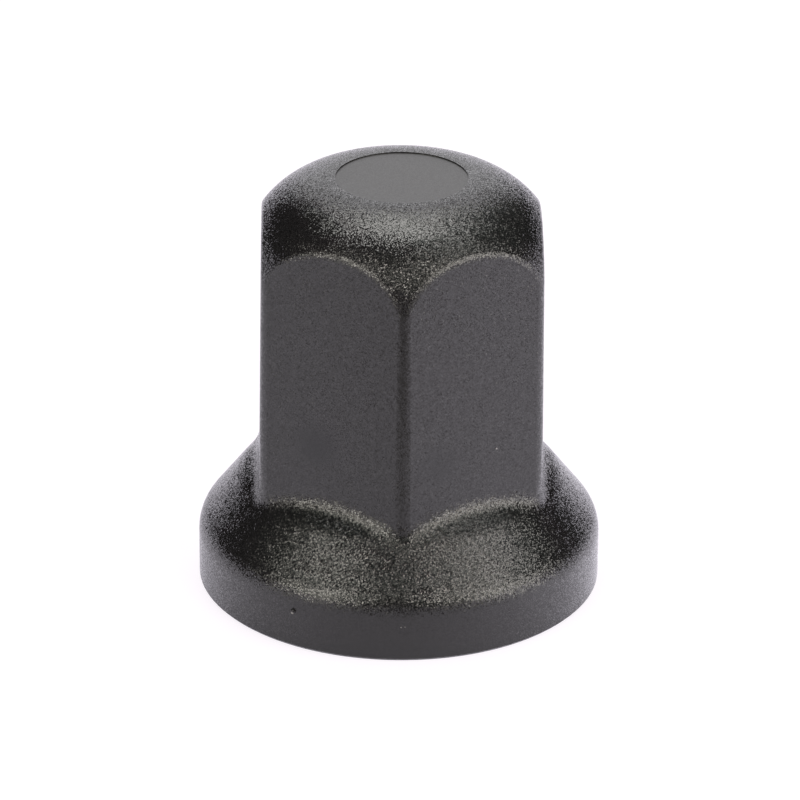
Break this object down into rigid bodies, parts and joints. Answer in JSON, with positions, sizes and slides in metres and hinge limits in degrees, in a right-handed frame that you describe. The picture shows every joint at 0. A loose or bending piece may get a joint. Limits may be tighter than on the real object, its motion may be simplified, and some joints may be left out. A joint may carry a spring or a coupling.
{
  "type": "wheel nut cover cap",
  "caption": "Push-on cover for a truck wheel nut: a hollow hexagonal tower with a domed end on a round flange, moulded in one piece of black textured plastic.",
  "frame": {"origin": "centre of the rim plane, the open end that meets the wheel", "axes": "+Z along the axis towards the domed end; -Y through a corner of the hexagon"},
  "size_m": [0.0562, 0.0562, 0.0599],
  "materials": {
    "black_plastic": "fine spark-eroded texture"
  },
  "bodies": {
    "root": {"nut_cover_cap": "black_plastic"}
  },
  "joints": []
}
